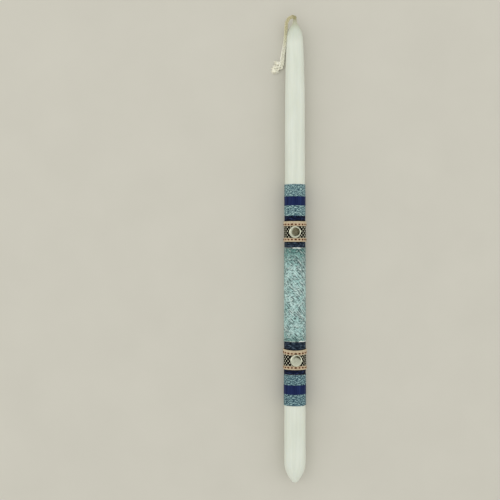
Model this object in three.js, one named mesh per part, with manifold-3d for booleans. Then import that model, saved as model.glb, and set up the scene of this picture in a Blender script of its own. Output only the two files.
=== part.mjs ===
// Easter candle: a white dipped taper lying on its side, dressed with linen, satin and navy ribbon,
// a crinkled wrap, and two leather-edged trims that each carry a domed stud.
// Millimetres, +Z up. The butt end is at -Y, the wick end at +Y, and the studs face +Z.
import * as THREE from 'three';
import { mergeVertices } from 'three/addons/utils/BufferGeometryUtils.js';
import Module from 'manifold-3d';

const wasm = await Module();
wasm.setup();

// Wax taper. A station is a distance from the butt end along the candle.
const waxLength = 400;
const buttFlatRadius = 2.2;
const buttRoundLength = 18;
const buttRadius = 9.55;
const shoulderRadius = 8.7;
const shoulderLength = 67;
const neckLength = 2.6;
const neckWall = 0.35;

// Dipped tip, from the straight taper up to the neck: shares of the radius left above the neck's
// and of the shoulder's length
const tipOutline = [
  [1, 1], [0.93, 0.61], [0.87, 0.42], [0.81, 0.28], [0.73, 0.17], [0.51, 0.095], [0.25, 0.043], [0, 0],
];

// Wick
const wickDiameter = 2.6;
const wickClearance = 0.15;
const wickRestGap = 0.03;
const wickButtCover = 6;
const crookRise = 0.8;
const crookRadius = 1.9;

// Route of the free wick from the end of the crook: right, towards the tip, and share of the drop
// from the candle's axis to the surface it lies on
const wickRoute = [
  [0, 0, 1], [-1.6, -0.3, 0.993], [-3.3, -1.4, 0.965], [-4.5, -3.2, 0.914], [-5.1, -5.8, 0.82],
  [-5.35, -9.3, 0.66], [-5.6, -13, 0.47], [-5.9, -17.5, 0.25], [-6.4, -22, 0.075], [-7.1, -26.5, 0],
  [-7.8, -31, 0], [-8.35, -34.8, 0], [-8.75, -38, 0], [-8.97, -40.3, 0], [-9.7, -42.4, 0],
  [-11.4, -44.2, 0], [-13.9, -44.9, 0], [-16.2, -44.2, 0],
];

// Ribbons, from the lower edge of the lower linen ribbon up the candle
const dressingStart = 67.8;
const linenWidth = 27;
const linenThickness = 0.3;
const satinWidth = 8;
const satinThickness = 0.15;
const upperSatinShift = -1;     // the upper satin lies a little low on its linen
const navyWidth = 28;
const navyThickness = 0.15;
const middleWidth = 80.5;
const middleThickness = 0.3;
const edgeGap = 0.2;
const layerClearance = 0.08;
const seamGap = 0.5;
const lapFacets = 2;

// Trims: a woven ribbon with a stitched leather strip along each edge
const wovenWidth = 17.8;
const wovenThickness = 0.2;
const leatherWidth = 4;
const leatherFloor = 0.15;
const leatherShoulder = 0.5;
const stitchInset = 1.5;
const stitchCount = 19;
const threadDiameter = 0.24;
const threadClearance = 0.03;
const stitchDip = 0.11;
const lowerTrimShift = -1.5;
const upperTrimShift = 0.2;

// Studs: a domed cap crimped over the head of a tack that is pushed into the wax. The cap reaches
// a little over the inner edges of both leather strips.
const capOverlap = 0.25;
const capRadius = wovenWidth / 2 - leatherWidth + capOverlap;
const capSkirt = 0.8;
const capDome = 1.6;
const capWall = 0.35;
const tackHeadThickness = 0.5;
const tackHeadRise = 0.1;
const tackShankRadius = 0.7;
const tackLength = 5.6;
const tackPoint = 1.2;
const tackClearance = 0.12;
const headClearance = 0.15;
const lowerStudPlace = { right: 0.6, up: -0.5 };
const upperStudPlace = { right: -0.4, up: -0.5 };

// Facets round the candle, turned so that one of them faces straight down. The seams lie this many
// facets round from the top.
const facets = 32;
const facetAngle = 2 * Math.PI / facets;
const facetVertex = k => (k + 0.5) * facetAngle;
const underlaySeamFacets = 12;
const overlaySeamFacets = 19;

const wickRadius = wickDiameter / 2;
const boreRadius = wickRadius + wickClearance;
const neckRadius = boreRadius + neckWall;
const taperEnd = waxLength - shoulderLength;
const neckEnd = waxLength + neckLength;
const crookStation = neckEnd + crookRise + crookRadius;
const overallLength = crookStation + wickRadius;

// Radius of the wax on its straight taper
function waxRadiusAt(station) {
  const share = (station - buttRoundLength) / (taperEnd - buttRoundLength);
  return THREE.MathUtils.lerp(buttRadius, shoulderRadius, share);
}

// Materials
function finish(color, roughness, metalness = 0) {
  return new THREE.MeshStandardMaterial({ color, roughness, metalness });
}

const finishes = {
  wax: finish(0xe4e6dc, 0.45),
  cotton: finish(0xe6ddbc, 0.9),
  linen: finish(0x6f9196, 0.95),
  satin: finish(0x1c2550, 0.35),
  navy: finish(0x2c3448, 0.8),
  gauze: finish(0x86a8a0, 0.95),
  woven: finish(0x77756a, 0.9),
  leather: finish(0xb9a27c, 0.6),
  thread: finish(0x7a5230, 0.8),
  nickel: finish(0xc9c9c2, 0.15, 1),
};

function named(name, geometry, material) {
  const mesh = new THREE.Mesh(geometry, material);
  mesh.name = name;
  return mesh;
}

// A closed geometry as a manifold-3d solid, and back
function toSolid(geometry) {
  const bare = geometry.clone();
  bare.deleteAttribute('normal');
  bare.deleteAttribute('uv');
  const merged = mergeVertices(bare, 1e-4);
  return new wasm.Manifold(new wasm.Mesh({
    numProp: 3,
    vertProperties: merged.attributes.position.array,
    triVerts: new Uint32Array(merged.index.array),
  }));
}

function toGeometry(solid) {
  const mesh = solid.getMesh();
  const geometry = new THREE.BufferGeometry();
  geometry.setAttribute('position', new THREE.BufferAttribute(mesh.vertProperties, 3));
  geometry.setIndex(new THREE.BufferAttribute(mesh.triVerts, 1));
  return geometry;
}

// Sweeps a closed outline of [radius, station] points round the candle through a list of angles,
// lifting each copy outwards, and caps its two ends
function sweepAround(outline, angles, lift = () => 0) {
  const positions = [];
  const index = [];
  const count = outline.length;
  angles.forEach((angle, k) => {
    for (const [radius, station] of outline) {
      const reach = radius + lift(k);
      positions.push(reach * Math.sin(angle), station, reach * Math.cos(angle));
    }
  });
  for (let k = 0; k < angles.length - 1; k++) {
    for (let i = 0; i < count; i++) {
      const a = k * count + i;
      const b = k * count + (i + 1) % count;
      index.push(a, a + count, b, b, a + count, b + count);
    }
  }
  const last = (angles.length - 1) * count;
  const contour = outline.map(([radius, station]) => new THREE.Vector2(radius, station));
  for (const [i, j, k] of THREE.ShapeUtils.triangulateShape(contour, [])) {
    index.push(i, j, k, last + k, last + j, last + i);
  }
  const geometry = new THREE.BufferGeometry();
  geometry.setAttribute('position', new THREE.Float32BufferAttribute(positions, 3));
  geometry.setIndex(index);
  return geometry;
}

// Outline of a thin ribbon that lies on a surface whose radius is given at each station
function ribbonOutline(from, to, radiusAt, thickness) {
  return [
    [radiusAt(from), from],
    [radiusAt(from) + thickness, from],
    [radiusAt(to) + thickness, to],
    [radiusAt(to), to],
  ];
}

// Angles of a turn whose two ends meet at a seam with a narrow gap
function meetingTurn(seam, radius) {
  const halfGap = seamGap / 2 / radius;
  const angles = [facetVertex(seam) + halfGap];
  for (let k = 1; k < facets; k++) angles.push(facetVertex(seam + k));
  angles.push(facetVertex(seam + facets) - halfGap);
  return angles;
}

// A ribbon glued edge to edge, for what lies under another ribbon
function meetingRibbon(from, to, radiusAt, thickness) {
  const outline = ribbonOutline(from, to, radiusAt, thickness);
  return sweepAround(outline, meetingTurn(underlaySeamFacets, radiusAt(from)));
}

// A ribbon that laps over its own start, for what lies outermost
function lappedRibbon(from, to, radiusAt, thickness) {
  const angles = [];
  for (let k = 0; k <= facets + lapFacets; k++) angles.push(facetVertex(overlaySeamFacets + k));
  const lift = k => (k < facets ? 0 : thickness + layerClearance);
  return sweepAround(ribbonOutline(from, to, radiusAt, thickness), angles, lift);
}

// Turned round an axis along Z, from an outline of [radius, height] points
function turnedUpright(outline, segments, place) {
  const geometry = new THREE.LatheGeometry(outline.map(([r, h]) => new THREE.Vector2(r, h)), segments);
  geometry.rotateX(Math.PI / 2);
  geometry.translate(place.x, place.station, place.z);
  return geometry;
}

function tube(curve, steps) {
  const section = new THREE.Shape().absarc(0, 0, wickRadius, 0, 2 * Math.PI);
  return new THREE.ExtrudeGeometry(section, {
    extrudePath: curve, steps, curveSegments: 4, bevelEnabled: false,
  });
}

// Wax body: rounded butt, straight taper, dipped tip, and a neck of wax up the wick
function waxGeometry(studs) {
  const point = (r, s) => new THREE.Vector2(r, s);
  const butt = new THREE.QuadraticBezierCurve(
    point(buttFlatRadius, 0),
    point(buttRadius, buttRoundLength / 2),
    point(buttRadius, buttRoundLength),
  );
  const tip = new THREE.SplineCurve(tipOutline.map(([radiusShare, lengthShare]) => point(
    THREE.MathUtils.lerp(neckRadius, shoulderRadius, radiusShare),
    waxLength - shoulderLength * lengthShare,
  )));
  const outline = [
    point(0, 0),
    ...butt.getPoints(8),
    ...tip.getPoints(16),
    point(neckRadius, neckEnd),
    point(boreRadius, neckEnd),
    point(boreRadius, wickButtCover),
    point(0, wickButtCover),
  ];
  const body = new THREE.LatheGeometry(outline, facets, facetVertex(0));
  return studs.reduce((cut, stud) => withTackHole(cut, stud), body);
}

// Wick inside the wax, and the crook that its wax coat holds stiff above the tip
function wickCoreGeometry() {
  const bottom = wickButtCover + wickClearance;
  const rod = new THREE.CylinderGeometry(wickRadius, wickRadius, neckEnd - bottom, 12);
  rod.translate(0, (neckEnd + bottom) / 2, 0);
  const crook = new THREE.CurvePath();
  const bendStart = new THREE.Vector3(0, neckEnd + crookRise, 0);
  const corner = new THREE.Vector3(0, crookStation, 0);
  const bendEnd = new THREE.Vector3(-crookRadius, crookStation, 0);
  crook.add(new THREE.LineCurve3(new THREE.Vector3(0, neckEnd - crookRise, 0), bendStart));
  crook.add(new THREE.QuadraticBezierCurve3(bendStart, corner, bendEnd));
  return toGeometry(toSolid(rod).add(toSolid(tube(crook, 8))));
}

// Free end of the wick: folds over to the left, comes down beside the tip and curls at its end
function wickTailGeometry() {
  const start = new THREE.Vector3(-crookRadius - 2 * wickClearance, crookStation, 0);
  const surface = wickRadius + wickRestGap - restHeight;
  const points = wickRoute.map(([right, along, drop]) => new THREE.Vector3(
    start.x + right,
    start.y + along,
    THREE.MathUtils.lerp(surface, start.z, drop),
  ));
  return tube(new THREE.CatmullRomCurve3(points), 26);
}

// Trims

const grooveDepth = threadClearance + threadDiameter + stitchDip;
const leatherThickness = leatherFloor + grooveDepth;

// Radii of the layers of a trim, which is a straight sleeve over the widest wax that it covers
function trimLayers(centre) {
  const from = centre - wovenWidth / 2;
  const navy = waxRadiusAt(from) + layerClearance;
  const woven = navy + navyThickness + layerClearance;
  const leather = woven + wovenThickness + layerClearance;
  return { from, to: from + wovenWidth, woven, leather, outer: leather + leatherThickness };
}

// Leather strip: soft outer edges, with a groove for its stitching nearer the insert
function leatherOutline(layers, edge, inward) {
  const top = layers.outer;
  const shoulder = top - leatherFloor;
  const floor = top - grooveDepth;
  const stitchLine = leatherWidth - stitchInset;
  const halfGroove = threadDiameter / 2 + threadClearance;
  const across = [
    [layers.leather, 0], [shoulder, 0], [top, leatherShoulder],
    [top, stitchLine - 2 * halfGroove], [floor, stitchLine - halfGroove],
    [floor, stitchLine + halfGroove], [top, stitchLine + 2 * halfGroove],
    [top, leatherWidth - leatherShoulder], [shoulder, leatherWidth], [layers.leather, leatherWidth],
  ];
  const outline = across.map(([radius, offset]) => [radius, edge + inward * offset]);
  return inward > 0 ? outline : outline.reverse();
}

// Stitching: one thread that rises and dips along the groove
function stitchingGeometry(layers, edge, inward) {
  const radius = layers.outer - grooveDepth + threadClearance + threadDiameter / 2;
  const station = edge + inward * (leatherWidth - stitchInset);
  const half = threadDiameter / 2;
  const outline = [
    [radius - half, station], [radius, station - half], [radius + half, station], [radius, station + half],
  ];
  const samples = 3 * stitchCount;
  const start = facetVertex(overlaySeamFacets) + seamGap / radius;
  const sweep = 2 * Math.PI - 2 * seamGap / radius;
  const angles = [];
  for (let k = 0; k <= samples; k++) angles.push(start + sweep * k / samples);
  const sink = radius * (1 - Math.cos(facetAngle / 2));
  const lift = k => (k % 3 === 0 ? 0 : stitchDip - sink);
  return sweepAround(outline, angles, lift);
}

// Place of a stud: its rim rests on the two leather strips of its trim
function studPlace(trim, place) {
  return { x: place.right, station: trim.centre + place.up, z: trim.layers.outer + layerClearance };
}

function capGeometry(place) {
  const dome = (radius, height) => new THREE.EllipseCurve(0, capSkirt, radius, height, Math.PI / 2, 0, true)
    .getPoints(6).map(p => [p.x, p.y]);
  const outer = dome(capRadius, capDome).reverse();
  const inner = dome(capRadius - capWall, capDome - capWall);
  return turnedUpright([...inner, [capRadius - capWall, 0], [capRadius, 0], ...outer], 24, place);
}

function tackGeometry(place) {
  const headRadius = capRadius - capWall - headClearance;
  return turnedUpright([
    [0, -tackLength], [tackShankRadius, tackPoint - tackLength], [tackShankRadius, tackHeadRise],
    [headRadius, tackHeadRise], [headRadius, tackHeadRise + tackHeadThickness],
    [0, tackHeadRise + tackHeadThickness],
  ], 16, place);
}

// Cuts the hole that a tack's shank makes in a layer
function withTackHole(geometry, place) {
  const radius = tackShankRadius + tackClearance;
  const bottom = -tackLength - tackClearance;
  const drill = turnedUpright([
    [0, bottom], [radius, bottom + tackPoint], [radius, capDome], [0, capDome],
  ], 16, place);
  return toGeometry(toSolid(geometry).subtract(toSolid(drill)));
}

// Places of the ribbons along the candle
const lowerLinen = { from: dressingStart, to: dressingStart + linenWidth };
const lowerNavy = { from: lowerLinen.to + edgeGap, to: lowerLinen.to + edgeGap + navyWidth };
const middle = { from: lowerNavy.to + edgeGap, to: lowerNavy.to + edgeGap + middleWidth };
const upperNavy = { from: middle.to + edgeGap, to: middle.to + edgeGap + navyWidth };
const upperLinen = { from: upperNavy.to + edgeGap, to: upperNavy.to + edgeGap + linenWidth };

function makeTrim(navy, shift, studOffset) {
  const centre = (navy.from + navy.to) / 2 + shift;
  const trim = { centre, layers: trimLayers(centre) };
  trim.stud = studPlace(trim, studOffset);
  return trim;
}

const lowerTrim = makeTrim(lowerNavy, lowerTrimShift, lowerStudPlace);
const upperTrim = makeTrim(upperNavy, upperTrimShift, upperStudPlace);

// Height of the axis when a facet of the thicker trim lies on the table
const restHeight = Math.max(lowerTrim.layers.outer, upperTrim.layers.outer) * Math.cos(facetAngle / 2);

const onWax = station => waxRadiusAt(station) + layerClearance;
const onLinen = station => onWax(station) + linenThickness + layerClearance;

function linenAndSatin(end, linen, satinShift) {
  const centre = (linen.from + linen.to) / 2 + satinShift;
  const satin = lappedRibbon(centre - satinWidth / 2, centre + satinWidth / 2, onLinen, satinThickness);
  const group = new THREE.Group();
  group.add(
    named(end + '_linen_ribbon', meetingRibbon(linen.from, linen.to, onWax, linenThickness), finishes.linen),
    named(end + '_satin_ribbon', satin, finishes.satin),
  );
  return group;
}

function studdedTrim(end, navy, trim) {
  const { layers, stud } = trim;
  const navyBand = meetingRibbon(navy.from, navy.to, onWax, navyThickness);
  const wovenBand = sweepAround(
    ribbonOutline(layers.from, layers.to, () => layers.woven, wovenThickness),
    meetingTurn(overlaySeamFacets, layers.woven),
  );
  const group = new THREE.Group();
  group.add(
    named(end + '_navy_ribbon', withTackHole(navyBand, stud), finishes.navy),
    named(end + '_woven_ribbon', withTackHole(wovenBand, stud), finishes.woven),
    named(end + '_stud_cap', capGeometry(stud), finishes.nickel),
    named(end + '_stud_tack', tackGeometry(stud), finishes.nickel),
  );
  for (const [side, edge, inward] of [['butt_side', layers.from, 1], ['wick_side', layers.to, -1]]) {
    const strip = sweepAround(
      leatherOutline(layers, edge, inward),
      meetingTurn(overlaySeamFacets, layers.outer),
    );
    group.add(
      named(end + '_trim_' + side + '_leather', strip, finishes.leather),
      named(end + '_trim_' + side + '_stitching', stitchingGeometry(layers, edge, inward), finishes.thread),
    );
  }
  return group;
}

const candle = new THREE.Group();
candle.add(
  named('wax_body', waxGeometry([lowerTrim.stud, upperTrim.stud]), finishes.wax),
  named('wick_core', wickCoreGeometry(), finishes.cotton),
  named('wick_tail', wickTailGeometry(), finishes.cotton),
  linenAndSatin('lower', lowerLinen, 0),
  studdedTrim('lower', lowerNavy, lowerTrim),
  named('middle_wrap', lappedRibbon(middle.from, middle.to, onWax, middleThickness), finishes.gauze),
  studdedTrim('upper', upperNavy, upperTrim),
  linenAndSatin('upper', upperLinen, upperSatinShift),
);
candle.position.set(0, -overallLength / 2, restHeight);

export default candle;
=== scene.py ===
import math
import random

import bmesh
import bpy
import numpy as np
from mathutils import Matrix, Vector, noise


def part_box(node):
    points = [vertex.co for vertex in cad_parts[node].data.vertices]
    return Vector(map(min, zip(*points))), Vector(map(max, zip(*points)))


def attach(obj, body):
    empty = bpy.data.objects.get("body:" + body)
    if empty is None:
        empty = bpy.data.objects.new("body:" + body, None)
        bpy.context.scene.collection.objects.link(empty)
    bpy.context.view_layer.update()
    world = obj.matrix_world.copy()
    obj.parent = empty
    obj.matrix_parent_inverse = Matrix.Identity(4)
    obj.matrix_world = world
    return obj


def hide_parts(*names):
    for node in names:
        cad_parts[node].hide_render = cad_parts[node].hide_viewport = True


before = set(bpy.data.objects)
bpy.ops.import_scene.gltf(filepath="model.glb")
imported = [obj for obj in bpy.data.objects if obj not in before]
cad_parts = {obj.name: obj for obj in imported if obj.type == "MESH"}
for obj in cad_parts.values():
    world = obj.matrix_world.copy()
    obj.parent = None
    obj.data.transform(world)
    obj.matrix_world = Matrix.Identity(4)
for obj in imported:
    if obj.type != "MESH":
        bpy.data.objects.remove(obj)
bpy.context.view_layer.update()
print("frame loaded:", len(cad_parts), "nodes")

# The candle lies along Y with its butt at -Y and its studs up. Angles go round it from the top towards +X.
waxLow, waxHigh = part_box("wax_body")
axisHeight = (waxLow.z + waxHigh.z) / 2
axisFoot = Vector((0, 0, axisHeight))
buttEnd = waxLow.y
facetShare = math.cos(math.pi / 32)  # the flat of a 32-sided CAD ring, as a share of its corner radius
up = Vector((0, 0, 1))
towardsTip = Vector((0, 1, 0))


# Camera straight above, a little left of the candle, as in the photo

cameraLook = {
    "place": (-0.0391, -0.0012, axisHeight + 0.870),
    "lens": 71.9,
    "sensor": 36,
}


def setCamera(look):
    bpy.ops.object.camera_add(location=look["place"], rotation=(0, 0, 0))
    camera = bpy.context.object
    camera.name = "photoCamera"
    camera.data.lens = look["lens"]
    camera.data.sensor_width = look["sensor"]
    camera.data.dof.use_dof = False
    bpy.context.scene.camera = camera


setCamera(cameraLook)


# Small tools for selecting and naming

def deselectAll():
    if bpy.context.mode != "OBJECT":
        bpy.ops.object.mode_set(mode="OBJECT")
    bpy.ops.object.select_all(action="DESELECT")


def nameActive(name):
    piece = bpy.context.object
    piece.name = name
    piece.data.name = name
    return piece


def applyPlace():
    bpy.ops.object.transform_apply(location=True, rotation=True, scale=True)


def smoothActive(degrees):
    bpy.ops.object.shade_smooth_by_angle(angle=math.radians(degrees))


def joinPieces(name, pieces):
    deselectAll()
    for piece in pieces:
        piece.select_set(True)
    bpy.context.view_layer.objects.active = pieces[0]
    bpy.ops.object.join()
    return nameActive(name)


def finishPiece(piece, material, slot, *nodes):
    piece.data.materials.clear()
    piece.data.materials.append(material)
    if nodes:
        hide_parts(*nodes)
    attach(piece, "root")


# Colours and shader nodes

def colour(hexText):
    shares = [int(hexText[k:k + 2], 16) / 255 for k in (1, 3, 5)]
    linear = [c / 12.92 if c <= 0.04045 else ((c + 0.055) / 1.055) ** 2.4 for c in shares]
    return (*linear, 1)


# Adds one node and gives back one of its outputs. Each socket takes a value or another node's output,
# and stops are the places and tones of a ramp.
def addNode(material, kind, sockets=None, out=0, stops=(), **settings):
    node = material.node_tree.nodes.new("ShaderNode" + kind)
    for key, value in settings.items():
        setattr(node, key, value)
    for socket, value in (sockets or {}).items():
        if isinstance(value, bpy.types.NodeSocket):
            material.node_tree.links.new(value, node.inputs[socket])
        else:
            node.inputs[socket].default_value = value
    if stops:
        band = node.color_ramp.elements
        while len(band) < len(stops):
            band.new(0.5)
        for element, (place, tone) in zip(band, stops):
            element.position = place
            element.color = colour(tone) if isinstance(tone, str) else (tone, tone, tone, 1)
    return node.outputs[out]


# A Mix node takes two colours at its sockets 6 and 7, and gives theirs at 2
colourMix = {"out": 2, "data_type": "RGBA"}


def newMaterial(name, settings):
    material = bpy.data.materials.new(name)
    material.use_nodes = True
    shader = material.node_tree.nodes["Principled BSDF"]
    for socket, value in settings.items():
        shader.inputs[socket].default_value = value
    return material, shader


# A pattern's place on cloth, in millimetres of the flat cut: turned, then divided by what it draws
def clothPlace(material, size=(1, 1), turn=0):
    flat = addNode(material, "UVMap", uv_map="clothMap")
    return addNode(material, "Mapping", {
        "Vector": flat, "Scale": (*size, 1), "Rotation": (0, 0, math.radians(turn))}, vector_type="TEXTURE")


# The same on a solid, in millimetres of the object
def solidPlace(material, scale=(1, 1, 1)):
    where = addNode(material, "TexCoord", out="Object")
    return addNode(material, "Mapping", {"Vector": where, "Scale": [1000 * s for s in scale]})


# How far along one axis of the object, in metres
def objectPart(material, axis):
    where = addNode(material, "TexCoord", out="Object")
    return addNode(material, "SeparateXYZ", {"Vector": where}, out=axis)


def paint(material, shader, tone, normal=None):
    material.node_tree.links.new(tone, shader.inputs["Base Color"])
    if normal is not None:
        material.node_tree.links.new(normal, shader.inputs["Normal"])
    return material


# Materials

# Dipped paraffin: milky, light passes a few millimetres in, satin skin with faint lengthwise runs
def makeWax(look):
    material, shader = newMaterial("dippedParaffin", {
        "Roughness": look["roughness"], "IOR": 1.44, "Subsurface Weight": look["milk"],
        "Subsurface Radius": look["depth"], "Subsurface Scale": 0.002,
        "Coat Weight": 0.2, "Coat Roughness": 0.3})
    runs = addNode(material, "TexNoise", {
        "Vector": solidPlace(material, (0.55, 0.02, 0.55)), "Scale": 1, "Detail": 3, "Roughness": 0.55})
    cloud = addNode(material, "TexNoise", {
        "Vector": solidPlace(material, (0.05, 0.03, 0.05)), "Scale": 1, "Detail": 2})
    body = addNode(material, "ValToRGB", {"Fac": runs}, stops=[(0.32, look["shade"]), (0.62, look["body"])])
    mottled = addNode(
        material, "Mix", {0: cloud, 6: body, 7: colour(look["warm"])}, blend_type="SOFT_LIGHT", **colourMix)
    # Darker and yellower towards the tip: partly the wick showing through the thin wax, partly painted shade
    nearTip = addNode(material, "MapRange", {
        "Value": objectPart(material, "Y"), "From Min": look["thinFrom"], "From Max": look["thinTo"]})
    thin = addNode(material, "ValToRGB", {"Fac": nearTip}, stops=look["thin"])
    tone = addNode(material, "Mix", {0: 0.85, 6: mottled, 7: thin}, blend_type="MULTIPLY", **colourMix)
    skin = addNode(material, "TexNoise", {
        "Vector": solidPlace(material, (1.1, 0.25, 1.1)), "Scale": 1, "Detail": 4})
    raised = addNode(material, "Bump", {"Height": runs, "Distance": 0.00009, "Strength": 0.5})
    normal = addNode(material, "Bump", {
        "Height": skin, "Distance": 0.00003, "Strength": 0.5, "Normal": raised})
    return paint(material, shader, tone, normal)


waxLook = {
    "body": "#E4E8E0", "shade": "#DFE3DB", "warm": "#84857F",
    "roughness": 0.36, "milk": 0.35, "depth": (1.0, 0.92, 0.78), "thinFrom": 0.178, "thinTo": 0.200,
    # tones towards the tip: partly the wick through thin wax, partly painted shade
    "thin": [(0.0, "#FFFFFF"), (0.5, "#E8EBE6"), (0.66, "#DBDDD2"), (0.8, "#D0CDB8"), (1.0, "#C0B593")],
}


# Braided cotton: cream yarns, dull, soft fibres. The waxed one has soaked up wax and shines a little.
def makeCotton(name, look):
    material, shader = newMaterial(name, {
        "Roughness": look["roughness"], "Sheen Weight": look["fuzz"], "Sheen Roughness": 0.6})
    along = addNode(material, "UVMap", uv_map="strandMap")
    slanted = addNode(material, "Mapping", {"Vector": along, "Rotation": (0, 0, math.radians(35))})
    # Yarns are about 0.1 mm across; drawn 0.3 mm wide so that they show
    yarns = addNode(material, "TexWave", {
        "Vector": slanted, "Scale": 1.05, "Distortion": 1.2, "Detail Scale": 1.5}, out="Fac")
    threads = addNode(material, "ValToRGB", {"Fac": yarns}, stops=[
        (0.1, look["deep"]), (0.65, look["light"])])
    blotch = addNode(material, "TexNoise", {"Vector": solidPlace(material), "Scale": 0.9, "Detail": 3})
    mottled = addNode(
        material, "Mix", {0: blotch, 6: threads, 7: colour(look["tint"])}, blend_type="SOFT_LIGHT",
        **colourMix)
    # Painted shade on the strands where they lie inside the braid
    inside = addNode(material, "Attribute", attribute_name="inside", out="Fac")
    strands = addNode(material, "Mix", {0: inside, 6: mottled, 7: colour(look["braidCreviceShade"])}, **colourMix)
    # Darker and yellower towards the tip: partly wax that has crept along it, partly painted shade
    fromTip = addNode(material, "SeparateXYZ", {"Vector": along}, out="Y")
    tintReach = addNode(material, "MapRange", {"Value": fromTip, "From Max": look["tintReach"]})
    soakedAndShaded = addNode(material, "ValToRGB", {"Fac": tintReach}, stops=look["soakedAndShaded"])
    tone = addNode(material, "Mix", {0: 1, 6: strands, 7: soakedAndShaded}, blend_type="MULTIPLY", **colourMix)
    normal = addNode(material, "Bump", {"Height": yarns, "Distance": 0.00012, "Strength": 0.8})
    return paint(material, shader, tone, normal)


dryCotton = {
    "light": "#FFFFF2", "deep": "#FFFAE8", "braidCreviceShade": "#E2DABA", "tint": "#ABA9A1",
    "roughness": 0.85, "fuzz": 1.0, "tintReach": 38,  # mm along
    "soakedAndShaded": [(0.0, "#C6BE97"), (0.42, "#D8D2B0"), (0.74, "#F1F1E0"), (1.0, "#FFFFFF")],
}
# The waxed braid's tones are darkened partly as painted shade over the tip
waxedCotton = {
    "light": "#BCB690", "deep": "#B2AB84", "braidCreviceShade": "#A0996F", "tint": "#85857C",
    "roughness": 0.42, "fuzz": 0.0, "tintReach": 38, "soakedAndShaded": [(0.0, "#FFFFFF"), (1.0, "#FFFFFF")],
}


# Dull cloth that scatters a little light from its fibres
clothSkin = {"Roughness": 0.85, "Specular IOR Level": 0.15, "Sheen Weight": 0.05, "Sheen Roughness": 0.5}


# Chambray: white weft over blue-grey warp, with slubs that read as light and dark blotches
def makeChambray(name, look):
    material, shader = newMaterial(name, clothSkin)
    # Real slubs are 0.35 mm thick; drawn 0.7 mm thick and more so that they show
    slubs = [addNode(material, "TexNoise", {"Vector": clothPlace(material, size), "Scale": 1, "Detail": 1})
             for size in ((2.3, 0.68), (0.75, 0.95))]
    both = addNode(material, "Math", {0: slubs[0], 1: slubs[1]}, operation="ADD")
    half = addNode(material, "Math", {0: both, 1: 0.5}, operation="MULTIPLY")
    base = addNode(material, "ValToRGB", {"Fac": half}, stops=[
        (0.43, look["dark"]), (0.48, look["middle"]), (0.52, look["light"]), (0.57, look["pale"])])
    # The threads themselves, 0.4 mm apart
    threads = [addNode(material, "TexWave", {
        "Vector": clothPlace(material), "Scale": 0.78, "Distortion": 0.8, "Detail": 1},
        out="Fac", bands_direction=direction) for direction in "XY"]
    weave = addNode(material, "Math", {0: threads[0], 1: threads[1]}, operation="MULTIPLY")
    lift = addNode(material, "ValToRGB", {"Fac": weave}, stops=[(0.0, 0.42), (0.5, 0.56)])
    tone = addNode(material, "Mix", {0: 0.8, 6: base, 7: lift}, blend_type="OVERLAY", **colourMix)
    raised = addNode(material, "Bump", {"Height": weave, "Distance": 0.00006, "Strength": 0.6})
    normal = addNode(material, "Bump", {
        "Height": half, "Distance": 0.0004, "Strength": 0.5, "Normal": raised})
    return paint(material, shader, tone, normal)


chambrayLooks = {
    "lower": {"dark": "#1B3444", "middle": "#41606E", "light": "#5B7C87", "pale": "#98B7BA"},
    "upper": {"dark": "#223D4A", "middle": "#4B6C78", "light": "#698B93", "pale": "#AECAC9"},
}


# Satin ribbon: deep navy with a violet cast, with soft streaks of painted sheen where its long floats catch
# the light
def makeSatin(look):
    material, shader = newMaterial("navySatin", {"Roughness": 0.40, "Specular IOR Level": 0.06})
    # Painted sheen: lighter streaks that stand in for the floats' highlights
    sheenStreaks = addNode(material, "TexNoise", {
        "Vector": clothPlace(material, (1.5, 30)), "Scale": 1, "Detail": 2, "Roughness": 0.45})
    tone = addNode(material, "ValToRGB", {"Fac": sheenStreaks}, stops=[(0.3, look["deep"]), (0.7, look["paintedSheen"])])
    # Floats are 0.1 mm wide; drawn 0.35 mm wide
    floats = addNode(material, "TexWave", {
        "Vector": clothPlace(material), "Scale": 0.9, "Distortion": 1}, out="Fac")
    normal = addNode(material, "Bump", {"Height": floats, "Distance": 0.00002, "Strength": 0.5})
    return paint(material, shader, tone, normal)


satinLook = {"deep": "#121A40", "paintedSheen": "#22315F"}


# Plain cotton ribbon under the trims: dull navy, faded on its ribs, drawn 1 mm apart so that they show
def makeNavyCloth(look):
    material, shader = newMaterial("navyCotton", {
        "Roughness": 0.9, "Specular IOR Level": 0.12, "Sheen Weight": 0.03, "Sheen Roughness": 0.5})
    ribs = addNode(material, "TexNoise", {
        "Vector": clothPlace(material, (3.0, 1.0)), "Scale": 1, "Detail": 2, "Roughness": 0.55})
    base = addNode(material, "ValToRGB", {"Fac": ribs}, stops=[
        (0.36, look["deep"]), (0.5, look["body"]), (0.62, look["worn"])])
    patches = addNode(material, "TexNoise", {
        "Vector": clothPlace(material, (5.0, 4.0)), "Scale": 1, "Detail": 1})
    unworn = addNode(material, "ValToRGB", {"Fac": patches}, stops=[(0.42, 0.0), (0.58, 0.6)])
    cloth = addNode(material, "Mix", {0: unworn, 6: base, 7: colour(look["body"])}, **colourMix)
    # Darker and bluer on the side away from the wrap
    fromWrap = addNode(
        material, "Math", {0: objectPart(material, "Y"), 1: look["wrapMiddle"]}, operation="SUBTRACT")
    distance = addNode(material, "Math", {0: fromWrap}, operation="ABSOLUTE")
    outer = addNode(material, "MapRange", {
        "Value": distance, "From Min": look["outerFrom"], "From Max": look["outerTo"]})
    deeper = addNode(
        material, "Mix", {0: outer, 6: cloth, 7: colour(look["outer"])}, blend_type="MULTIPLY", **colourMix)
    # Painted shade along the trim's edges, where the ribbon dips under them
    tuckAndShade = addNode(material, "Attribute", attribute_name="tuckAndShade", out="Fac")
    tone = addNode(material, "Mix", {0: tuckAndShade, 6: deeper, 7: colour(look["tuckAndShade"])}, **colourMix)
    normal = addNode(material, "Bump", {"Height": ribs, "Distance": 0.0003, "Strength": 0.6})
    return paint(material, shader, tone, normal)


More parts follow.
